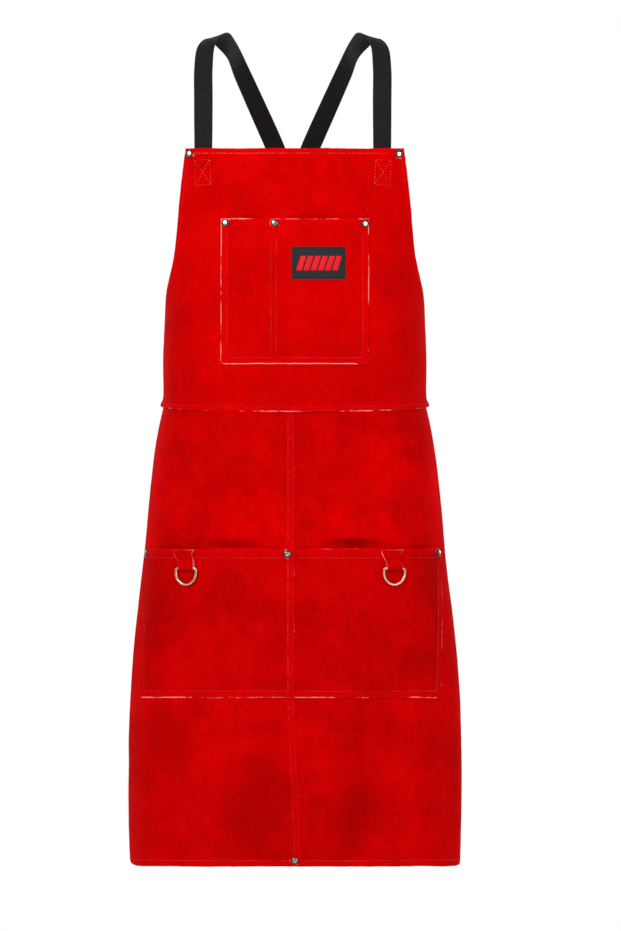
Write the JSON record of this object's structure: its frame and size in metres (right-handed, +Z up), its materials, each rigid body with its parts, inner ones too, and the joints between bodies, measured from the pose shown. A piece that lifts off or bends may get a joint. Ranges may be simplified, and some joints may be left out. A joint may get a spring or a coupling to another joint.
{
  "type": "welding apron",
  "caption": "Long leather welding apron with a bib, a lapped skirt, chest and lap pockets, tool rings, and webbing straps that cross behind.",
  "frame": {"origin": "midway between the two shoulder straps, level with the undersides of their crests, where the wearer's shoulders carry them", "axes": "+Z up, the front of the apron faces -Y, +X to the right of someone looking at its front"},
  "size_m": [0.4952, 0.2764, 1.2419],
  "materials": {
    "bib_leather": "suede split leather, bright red",
    "skirt_leather": "suede split leather, deep red",
    "pocket_leather": "suede split leather, red",
    "webbing": "woven black webbing",
    "label": "woven patch, charcoal with a plain red band",
    "nickel": "polished nickel",
    "brass": "pale polished brass",
    "plastic": "moulded black acetal"
  },
  "bodies": {
    "root": {"bib_panel": "bib_leather", "chest_pocket": "bib_leather", "waist_tab_left": "bib_leather", "waist_tab_right": "bib_leather", "skirt_panel_left": "skirt_leather", "skirt_panel_right": "skirt_leather", "lap_pocket_left": "pocket_leather", "lap_pocket_right": "pocket_leather", "ring_tab_left": "pocket_leather", "ring_tab_right": "pocket_leather", "label_patch": "label", "rivet_cap_bib_left": "nickel", "rivet_post_bib_left": "nickel", "rivet_cap_bib_right": "nickel", "rivet_post_bib_right": "nickel", "rivet_cap_chest_left": "nickel", "rivet_post_chest_left": "nickel", "rivet_cap_chest_middle": "nickel", "rivet_post_chest_middle": "nickel", "rivet_cap_chest_right": "nickel", "rivet_post_chest_right": "nickel", "rivet_cap_lap_left": "nickel", "rivet_post_lap_left": "nickel", "rivet_cap_lap_middle": "nickel", "rivet_post_lap_middle": "nickel", "rivet_cap_lap_right": "nickel", "rivet_post_lap_right": "nickel", "rivet_cap_hem": "nickel", "rivet_post_hem": "nickel", "shoulder_strap_left": "webbing", "strap_return_left": "webbing", "waist_ring_left": "nickel", "waist_belt_left": "webbing", "shoulder_strap_right": "webbing", "strap_return_right": "webbing", "waist_ring_right": "nickel", "waist_belt_right": "webbing", "buckle_socket": "plastic"},
    "tool_ring_left": {"tool_ring_left": "brass"},
    "tool_ring_right": {"tool_ring_right": "brass"},
    "strap_adjuster_left": {"strap_adjuster_left": "plastic"},
    "strap_adjuster_right": {"strap_adjuster_right": "plastic"},
    "buckle_plug": {"buckle_plug": "plastic"}
  },
  "joints": [
    {"name": "tool_ring_left_swing", "type": "hinge", "parent": "root", "child": "tool_ring_left", "pos_m": [-0.16177, -0.11668, -0.79298], "axis": [-0.8931, 0.4498, 0], "range_deg": [0, 160]},
    {"name": "tool_ring_right_swing", "type": "hinge", "parent": "root", "child": "tool_ring_right", "pos_m": [0.14811, -0.12229, -0.79304], "axis": [-0.9348, -0.3552, 0], "range_deg": [0, 160]},
    {"name": "strap_adjuster_left_slide", "type": "slide", "parent": "root", "child": "strap_adjuster_left", "axis": [-0.54, 0.18, 0.8222], "range_m": [-0.03, 0.03], "deforming": ["strap_return_left"]},
    {"name": "strap_adjuster_right_slide", "type": "slide", "parent": "root", "child": "strap_adjuster_right", "axis": [0.54, 0.18, 0.8222], "range_m": [-0.03, 0.03], "deforming": ["strap_return_right"]},
    {"name": "buckle_release", "type": "slide", "parent": "root", "child": "buckle_plug", "axis": [1, 0, 0], "range_m": [0, 0.03], "deforming": ["waist_belt_right"]}
  ]
}
